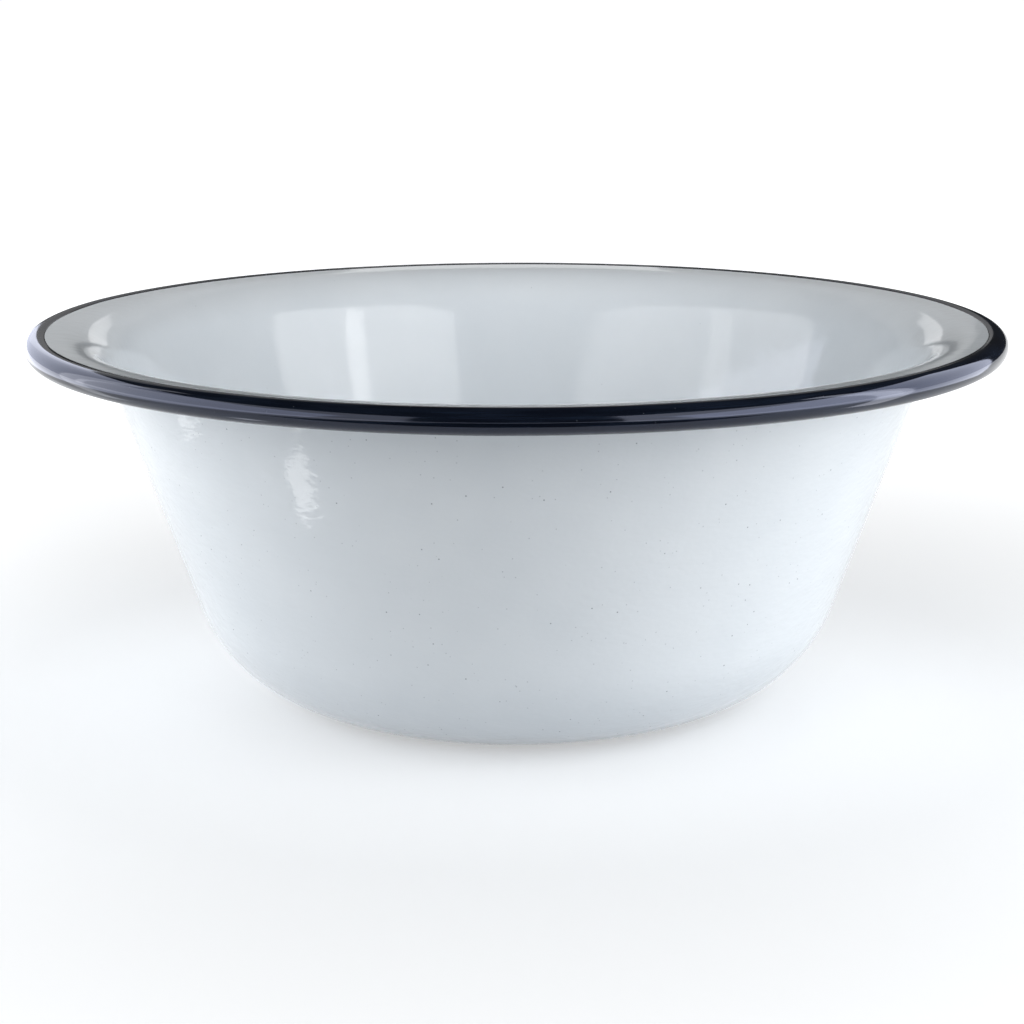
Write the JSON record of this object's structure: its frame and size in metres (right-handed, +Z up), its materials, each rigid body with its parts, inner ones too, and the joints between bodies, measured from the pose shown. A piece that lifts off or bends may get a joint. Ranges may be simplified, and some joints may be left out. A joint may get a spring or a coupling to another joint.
{
  "type": "enamel basin bowl",
  "caption": "Deep round basin of enamelled steel sheet with a sloping wall, a flat flange and a dark rolled rim bead, for washing, mixing and carrying.",
  "frame": {"origin": "centre of the base, on the plane that the basin stands on", "axes": "+Z up along the axis of the bowl; the bowl is round, so X and Y are free"},
  "size_m": [0.3599, 0.36, 0.14],
  "materials": {
    "steel_sheet": "pickled sheet",
    "ground_enamel": "fired glass",
    "white_enamel": "glossy fired glass",
    "rim_enamel": "glossy fired glass"
  },
  "bodies": {
    "root": {"steel_bowl": "steel_sheet", "ground_coat_inside": "ground_enamel", "ground_coat_outside": "ground_enamel", "white_coat_inside": "white_enamel", "white_coat_outside": "white_enamel", "rim_coat": "rim_enamel"}
  },
  "joints": []
}
